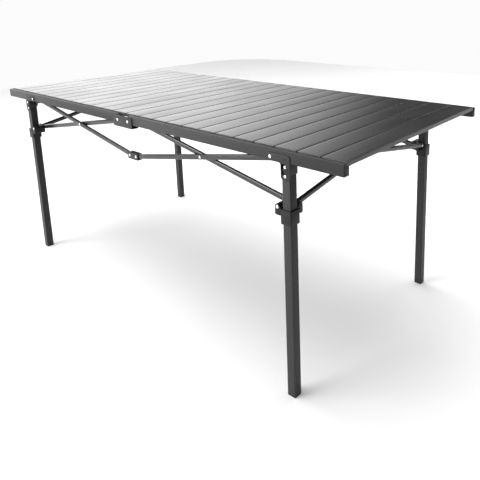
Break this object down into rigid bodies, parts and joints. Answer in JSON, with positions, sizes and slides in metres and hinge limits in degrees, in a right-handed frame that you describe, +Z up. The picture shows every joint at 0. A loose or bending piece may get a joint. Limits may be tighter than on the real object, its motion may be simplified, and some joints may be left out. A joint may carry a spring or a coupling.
{
  "type": "folding picnic table",
  "caption": "Long folding picnic table: a roll-up slatted metal top on hinged side rails, straight square legs and a scissor frame with sliders.",
  "frame": {"origin": "on the floor under the middle of the table top", "axes": "+X along the table's length, +Y from the front long side to the back, +Z up"},
  "size_m": [1.8, 0.7708, 0.7],
  "materials": {
    "bracket_steel": "powder coat",
    "leg_coat": "black powder coat",
    "bar_coat": "gloss black coat",
    "slat_coat": "satin black coat",
    "slider_plastic": "satin",
    "rail_coat": "black powder coat"
  },
  "bodies": {
    "leg_front_left": {"leg_front_left": "leg_coat", "leg_bracket_front_left": "bracket_steel"},
    "slider_front_left": {"slider_front_left": "slider_plastic"},
    "side_bar_upper_front_left": {"side_bar_upper_front_left": "bar_coat"},
    "side_bar_lower_front_left": {"side_bar_lower_front_left": "bar_coat"},
    "rail_front_left": {"rail_front_left": "rail_coat"},
    "leg_front_right": {"leg_front_right": "leg_coat", "leg_bracket_front_right": "bracket_steel"},
    "slider_front_right": {"slider_front_right": "slider_plastic"},
    "side_bar_upper_front_right": {"side_bar_upper_front_right": "bar_coat"},
    "side_bar_lower_front_right": {"side_bar_lower_front_right": "bar_coat"},
    "rail_front_right": {"rail_front_right": "rail_coat"},
    "link_lower_front": {"link_lower_front": "bracket_steel"},
    "link_upper_front": {"link_upper_front": "bracket_steel"},
    "rail_hinge_front": {"rail_hinge_front": "bracket_steel"},
    "leg_back_left": {"leg_back_left": "leg_coat", "leg_bracket_back_left": "bracket_steel"},
    "slider_back_left": {"slider_back_left": "slider_plastic"},
    "side_bar_upper_back_left": {"side_bar_upper_back_left": "bar_coat"},
    "side_bar_lower_back_left": {"side_bar_lower_back_left": "bar_coat"},
    "rail_back_left": {"rail_back_left": "rail_coat"},
    "leg_back_right": {"leg_back_right": "leg_coat", "leg_bracket_back_right": "bracket_steel"},
    "slider_back_right": {"slider_back_right": "slider_plastic"},
    "side_bar_upper_back_right": {"side_bar_upper_back_right": "bar_coat"},
    "side_bar_lower_back_right": {"side_bar_lower_back_right": "bar_coat"},
    "rail_back_right": {"rail_back_right": "rail_coat"},
    "link_lower_back": {"link_lower_back": "bracket_steel"},
    "link_upper_back": {"link_upper_back": "bracket_steel"},
    "rail_hinge_back": {"rail_hinge_back": "bracket_steel"},
    "end_bar_outer_left": {"end_bar_outer_left": "bar_coat"},
    "end_bar_inner_left": {"end_bar_inner_left": "bar_coat"},
    "end_bar_outer_right": {"end_bar_outer_right": "bar_coat"},
    "end_bar_inner_right": {"end_bar_inner_right": "bar_coat"},
    "slat_01": {"slat_01": "slat_coat"},
    "slat_02": {"slat_02": "slat_coat"},
    "slat_03": {"slat_03": "slat_coat"},
    "slat_04": {"slat_04": "slat_coat"},
    "slat_05": {"slat_05": "slat_coat"},
    "slat_06": {"slat_06": "slat_coat"},
    "slat_07": {"slat_07": "slat_coat"},
    "slat_08": {"slat_08": "slat_coat"},
    "slat_09": {"slat_09": "slat_coat"},
    "slat_10": {"slat_10": "slat_coat"},
    "slat_11": {"slat_11": "slat_coat"},
    "slat_12": {"slat_12": "slat_coat"},
    "slat_13": {"slat_13": "slat_coat"},
    "slat_14": {"slat_14": "slat_coat"},
    "slat_15": {"slat_15": "slat_coat"},
    "slat_16": {"slat_16": "slat_coat"},
    "slat_17": {"slat_17": "slat_coat"},
    "slat_18": {"slat_18": "slat_coat"},
    "slat_19": {"slat_19": "slat_coat"},
    "slat_20": {"slat_20": "slat_coat"},
    "slat_21": {"slat_21": "slat_coat"},
    "slat_22": {"slat_22": "slat_coat"},
    "slat_23": {"slat_23": "slat_coat"},
    "slat_24": {"slat_24": "slat_coat"}
  },
  "joints": [
    {"name": "front_lower_link", "type": "hinge", "parent": "link_lower_front", "child": "side_bar_upper_front_left", "pos_m": [-0.0185, -0.3465, 0.546], "axis": [0, 1, 0], "range_deg": [0, 54.05]},
    {"name": "front_left_crossing", "type": "hinge", "parent": "side_bar_upper_front_left", "child": "side_bar_lower_front_left", "pos_m": [-0.3565, -0.3465, 0.607], "axis": [0, 1, 0], "range_deg": [-108.05, 0]},
    {"name": "front_left_slider", "type": "hinge", "parent": "side_bar_lower_front_left", "child": "slider_front_left", "pos_m": [-0.6945, -0.3345, 0.546], "axis": [0, 1, 0], "range_deg": [0, 54.05]},
    {"name": "frame_fold", "type": "hinge", "parent": "side_bar_upper_front_left", "child": "leg_front_left", "pos_m": [-0.6945, -0.3465, 0.668], "axis": [0, -1, 0], "range_deg": [0, 54]},
    {"name": "front_upper_link", "type": "hinge", "parent": "side_bar_lower_front_left", "child": "link_upper_front", "pos_m": [-0.0185, -0.3345, 0.668], "axis": [0, 1, 0], "range_deg": [0, 54.05]},
    {"name": "front_right_upper_bar", "type": "hinge", "parent": "link_lower_front", "child": "side_bar_upper_front_right", "pos_m": [0.0185, -0.3465, 0.546], "axis": [0, 1, 0], "range_deg": [-54.05, 0]},
    {"name": "front_right_crossing", "type": "hinge", "parent": "side_bar_upper_front_right", "child": "side_bar_lower_front_right", "pos_m": [0.3565, -0.3465, 0.607], "axis": [0, 1, 0], "range_deg": [0, 108.05]},
    {"name": "front_right_slider", "type": "hinge", "parent": "side_bar_lower_front_right", "child": "slider_front_right", "pos_m": [0.6945, -0.3345, 0.546], "axis": [0, 1, 0], "range_deg": [-54.05, 0]},
    {"name": "front_right_leg", "type": "hinge", "parent": "side_bar_upper_front_right", "child": "leg_front_right", "pos_m": [0.6945, -0.3465, 0.668], "axis": [0, 1, 0], "range_deg": [0, 54.05]},
    {"name": "left_outer_bar", "type": "hinge", "parent": "leg_front_left", "child": "end_bar_outer_left", "pos_m": [-0.729, -0.338, 0.668], "axis": [1, 0, 0], "range_deg": [-54.05, 0]},
    {"name": "left_crossing", "type": "hinge", "parent": "end_bar_outer_left", "child": "end_bar_inner_left", "pos_m": [-0.729, 0, 0.607], "axis": [1, 0, 0], "range_deg": [0, 108.05]},
    {"name": "back_left_slider", "type": "hinge", "parent": "end_bar_outer_left", "child": "slider_back_left", "pos_m": [-0.729, 0.338, 0.546], "axis": [1, 0, 0], "range_deg": [0, 54.05]},
    {"name": "back_left_leg", "type": "hinge", "parent": "end_bar_inner_left", "child": "leg_back_left", "pos_m": [-0.717, 0.338, 0.668], "axis": [1, 0, 0], "range_deg": [-54.05, 0]},
    {"name": "back_left_upper_bar", "type": "hinge", "parent": "leg_back_left", "child": "side_bar_upper_back_left", "pos_m": [-0.6945, 0.3465, 0.668], "axis": [0, 1, 0], "range_deg": [0, 54.05]},
    {"name": "back_left_crossing", "type": "hinge", "parent": "side_bar_upper_back_left", "child": "side_bar_lower_back_left", "pos_m": [-0.3565, 0.3465, 0.607], "axis": [0, 1, 0], "range_deg": [-108.05, 0]},
    {"name": "rail_front_left_pivot", "type": "hinge", "parent": "leg_front_left", "child": "rail_front_left", "pos_m": [-0.673, -0.37, 0.676], "axis": [0, 1, 0], "range_deg": [0, 70.25]},
    {"name": "rail_back_left_pivot", "type": "hinge", "parent": "leg_back_left", "child": "rail_back_left", "pos_m": [-0.673, 0.37, 0.676], "axis": [0, 1, 0], "range_deg": [0, 70.25]},
    {"name": "right_outer_bar", "type": "hinge", "parent": "leg_front_right", "child": "end_bar_outer_right", "pos_m": [0.729, -0.338, 0.668], "axis": [1, 0, 0], "range_deg": [-54.05, 0]},
    {"name": "right_crossing", "type": "hinge", "parent": "end_bar_outer_right", "child": "end_bar_inner_right", "pos_m": [0.729, 0, 0.607], "axis": [1, 0, 0], "range_deg": [0, 108.05]},
    {"name": "back_right_slider", "type": "hinge", "parent": "end_bar_outer_right", "child": "slider_back_right", "pos_m": [0.729, 0.338, 0.546], "axis": [1, 0, 0], "range_deg": [0, 54.05]},
    {"name": "back_right_leg", "type": "hinge", "parent": "end_bar_inner_right", "child": "leg_back_right", "pos_m": [0.717, 0.338, 0.668], "axis": [1, 0, 0], "range_deg": [-54.05, 0]},
    {"name": "back_right_upper_bar", "type": "hinge", "parent": "leg_back_right", "child": "side_bar_upper_back_right", "pos_m": [0.6945, 0.3465, 0.668], "axis": [0, 1, 0], "range_deg": [-54.05, 0]},
    {"name": "back_right_crossing", "type": "hinge", "parent": "side_bar_upper_back_right", "child": "side_bar_lower_back_right", "pos_m": [0.3565, 0.3465, 0.607], "axis": [0, 1, 0], "range_deg": [0, 108.05]},
    {"name": "rail_front_right_pivot", "type": "hinge", "parent": "leg_front_right", "child": "rail_front_right", "pos_m": [0.673, -0.37, 0.676], "axis": [0, 1, 0], "range_deg": [-70.25, 0]},
    {"name": "rail_back_right_pivot", "type": "hinge", "parent": "leg_back_right", "child": "rail_back_right", "pos_m": [0.673, 0.37, 0.676], "axis": [0, 1, 0], "range_deg": [-70.25, 0]},
    {"name": "back_lower_link", "type": "hinge", "parent": "side_bar_upper_back_left", "child": "link_lower_back", "pos_m": [-0.0185, 0.3465, 0.546], "axis": [0, 1, 0], "range_deg": [-54.05, 0]},
    {"name": "back_upper_link", "type": "hinge", "parent": "side_bar_lower_back_left", "child": "link_upper_back", "pos_m": [-0.0185, 0.3345, 0.668], "axis": [0, 1, 0], "range_deg": [0, 54.05]},
    {"name": "rail_hinge_front_pivot", "type": "hinge", "parent": "rail_front_left", "child": "rail_hinge_front", "pos_m": [-0.03, -0.37, 0.676], "axis": [0, 1, 0], "range_deg": [-70.25, 0]},
    {"name": "rail_hinge_back_pivot", "type": "hinge", "parent": "rail_back_left", "child": "rail_hinge_back", "pos_m": [-0.03, 0.37, 0.676], "axis": [0, 1, 0], "range_deg": [-70.25, 0]},
    {"name": "top_lift", "type": "slide", "parent": "link_lower_front", "child": "slat_01", "axis": [0, 0, 1], "range_m": [0, 1.53644]},
    {"name": "top_roll", "type": "hinge", "parent": "slat_01", "child": "slat_02", "pos_m": [-0.825, 0, 0.7], "axis": [0, -1, 0], "range_deg": [0, 33.87]},
    {"name": "slat_03_roll", "type": "hinge", "parent": "slat_02", "child": "slat_03", "pos_m": [-0.75, 0, 0.7], "axis": [0, -1, 0], "range_deg": [0, 34.6]},
    {"name": "slat_04_roll", "type": "hinge", "parent": "slat_03", "child": "slat_04", "pos_m": [-0.675, 0, 0.7], "axis": [0, -1, 0], "range_deg": [0, 35.31]},
    {"name": "slat_05_roll", "type": "hinge", "parent": "slat_04", "child": "slat_05", "pos_m": [-0.6, 0, 0.7], "axis": [0, -1, 0], "range_deg": [0, 36.07]},
    {"name": "slat_06_roll", "type": "hinge", "parent": "slat_05", "child": "slat_06", "pos_m": [-0.525, 0, 0.7], "axis": [0, -1, 0], "range_deg": [0, 36.88]},
    {"name": "slat_07_roll", "type": "hinge", "parent": "slat_06", "child": "slat_07", "pos_m": [-0.45, 0, 0.7], "axis": [0, -1, 0], "range_deg": [0, 37.75]},
    {"name": "slat_08_roll", "type": "hinge", "parent": "slat_07", "child": "slat_08", "pos_m": [-0.375, 0, 0.7], "axis": [0, -1, 0], "range_deg": [0, 38.69]},
    {"name": "slat_09_roll", "type": "hinge", "parent": "slat_08", "child": "slat_09", "pos_m": [-0.3, 0, 0.7], "axis": [0, -1, 0], "range_deg": [0, 39.7]},
    {"name": "slat_10_roll", "type": "hinge", "parent": "slat_09", "child": "slat_10", "pos_m": [-0.225, 0, 0.7], "axis": [0, -1, 0], "range_deg": [0, 40.79]},
    {"name": "slat_11_roll", "type": "hinge", "parent": "slat_10", "child": "slat_11", "pos_m": [-0.15, 0, 0.7], "axis": [0, -1, 0], "range_deg": [0, 41.98]},
    {"name": "slat_12_roll", "type": "hinge", "parent": "slat_11", "child": "slat_12", "pos_m": [-0.075, 0, 0.7], "axis": [0, -1, 0], "range_deg": [0, 43.28]},
    {"name": "slat_13_roll", "type": "hinge", "parent": "slat_12", "child": "slat_13", "pos_m": [0, 0, 0.7], "axis": [0, -1, 0], "range_deg": [0, 44.7]},
    {"name": "slat_14_roll", "type": "hinge", "parent": "slat_13", "child": "slat_14", "pos_m": [0.075, 0, 0.7], "axis": [0, -1, 0], "range_deg": [0, 46.28]},
    {"name": "slat_15_roll", "type": "hinge", "parent": "slat_14", "child": "slat_15", "pos_m": [0.15, 0, 0.7], "axis": [0, -1, 0], "range_deg": [0, 48.04]},
    {"name": "slat_16_roll", "type": "hinge", "parent": "slat_15", "child": "slat_16", "pos_m": [0.225, 0, 0.7], "axis": [0, -1, 0], "range_deg": [0, 50.02]},
    {"name": "slat_17_roll", "type": "hinge", "parent": "slat_16", "child": "slat_17", "pos_m": [0.3, 0, 0.7], "axis": [0, -1, 0], "range_deg": [0, 52.27]},
    {"name": "slat_18_roll", "type": "hinge", "parent": "slat_17", "child": "slat_18", "pos_m": [0.375, 0, 0.7], "axis": [0, -1, 0], "range_deg": [0, 54.85]},
    {"name": "slat_19_roll", "type": "hinge", "parent": "slat_18", "child": "slat_19", "pos_m": [0.45, 0, 0.7], "axis": [0, -1, 0], "range_deg": [0, 57.86]},
    {"name": "slat_20_roll", "type": "hinge", "parent": "slat_19", "child": "slat_20", "pos_m": [0.525, 0, 0.7], "axis": [0, -1, 0], "range_deg": [0, 61.43]},
    {"name": "slat_21_roll", "type": "hinge", "parent": "slat_20", "child": "slat_21", "pos_m": [0.6, 0, 0.7], "axis": [0, -1, 0], "range_deg": [0, 65.76]},
    {"name": "slat_22_roll", "type": "hinge", "parent": "slat_21", "child": "slat_22", "pos_m": [0.675, 0, 0.7], "axis": [0, -1, 0], "range_deg": [0, 71.18]},
    {"name": "slat_23_roll", "type": "hinge", "parent": "slat_22", "child": "slat_23", "pos_m": [0.75, 0, 0.7], "axis": [0, -1, 0], "range_deg": [0, 78.23]},
    {"name": "slat_24_roll", "type": "hinge", "parent": "slat_23", "child": "slat_24", "pos_m": [0.825, 0, 0.7], "axis": [0, -1, 0], "range_deg": [0, 88.02]}
  ],
  "couplings": [
    {"joint": "front_lower_link", "follows": "frame_fold", "ratio": 1},
    {"joint": "front_left_crossing", "follows": "frame_fold", "ratio": -2},
    {"joint": "front_left_slider", "follows": "frame_fold", "ratio": 1},
    {"joint": "front_upper_link", "follows": "frame_fold", "ratio": 1},
    {"joint": "front_right_upper_bar", "follows": "frame_fold", "ratio": -1},
    {"joint": "front_right_crossing", "follows": "frame_fold", "ratio": 2},
    {"joint": "front_right_slider", "follows": "frame_fold", "ratio": -1},
    {"joint": "front_right_leg", "follows": "frame_fold", "ratio": 1},
    {"joint": "left_outer_bar", "follows": "frame_fold", "ratio": -1},
    {"joint": "left_crossing", "follows": "frame_fold", "ratio": 2},
    {"joint": "back_left_slider", "follows": "frame_fold", "ratio": 1},
    {"joint": "back_left_leg", "follows": "frame_fold", "ratio": -1},
    {"joint": "back_left_upper_bar", "follows": "frame_fold", "ratio": 1},
    {"joint": "back_left_crossing", "follows": "frame_fold", "ratio": -2},
    {"joint": "rail_front_left_pivot", "follows": "frame_fold", "ratio": 1.3},
    {"joint": "rail_back_left_pivot", "follows": "frame_fold", "ratio": 1.3},
    {"joint": "right_outer_bar", "follows": "frame_fold", "ratio": -1},
    {"joint": "right_crossing", "follows": "frame_fold", "ratio": 2},
    {"joint": "back_right_slider", "follows": "frame_fold", "ratio": 1},
    {"joint": "back_right_leg", "follows": "frame_fold", "ratio": -1},
    {"joint": "back_right_upper_bar", "follows": "frame_fold", "ratio": -1},
    {"joint": "back_right_crossing", "follows": "frame_fold", "ratio": 2},
    {"joint": "rail_front_right_pivot", "follows": "frame_fold", "ratio": -1.3},
    {"joint": "rail_back_right_pivot", "follows": "frame_fold", "ratio": -1.3},
    {"joint": "back_lower_link", "follows": "frame_fold", "ratio": -1},
    {"joint": "back_upper_link", "follows": "frame_fold", "ratio": 1},
    {"joint": "rail_hinge_front_pivot", "follows": "frame_fold", "ratio": -1.3},
    {"joint": "rail_hinge_back_pivot", "follows": "frame_fold", "ratio": -1.3},
    {"joint": "top_lift", "follows": "frame_fold", "m_per_rad": 1.63},
    {"joint": "slat_03_roll", "follows": "top_roll", "ratio": 1.0199},
    {"joint": "slat_04_roll", "follows": "top_roll", "ratio": 1.041},
    {"joint": "slat_05_roll", "follows": "top_roll", "ratio": 1.0634},
    {"joint": "slat_06_roll", "follows": "top_roll", "ratio": 1.0874},
    {"joint": "slat_07_roll", "follows": "top_roll", "ratio": 1.1131},
    {"joint": "slat_08_roll", "follows": "top_roll", "ratio": 1.1408},
    {"joint": "slat_09_roll", "follows": "top_roll", "ratio": 1.1705},
    {"joint": "slat_10_roll", "follows": "top_roll", "ratio": 1.2028},
    {"joint": "slat_11_roll", "follows": "top_roll", "ratio": 1.2379},
    {"joint": "slat_12_roll", "follows": "top_roll", "ratio": 1.2762},
    {"joint": "slat_13_roll", "follows": "top_roll", "ratio": 1.3183},
    {"joint": "slat_14_roll", "follows": "top_roll", "ratio": 1.3649},
    {"joint": "slat_15_roll", "follows": "top_roll", "ratio": 1.4169},
    {"joint": "slat_16_roll", "follows": "top_roll", "ratio": 1.4753},
    {"joint": "slat_17_roll", "follows": "top_roll", "ratio": 1.5416},
    {"joint": "slat_18_roll", "follows": "top_roll", "ratio": 1.6178},
    {"joint": "slat_19_roll", "follows": "top_roll", "ratio": 1.7066},
    {"joint": "slat_20_roll", "follows": "top_roll", "ratio": 1.812},
    {"joint": "slat_21_roll", "follows": "top_roll", "ratio": 1.9399},
    {"joint": "slat_22_roll", "follows": "top_roll", "ratio": 2.0998},
    {"joint": "slat_23_roll", "follows": "top_roll", "ratio": 2.3082},
    {"joint": "slat_24_roll", "follows": "top_roll", "ratio": 2.597}
  ]
}
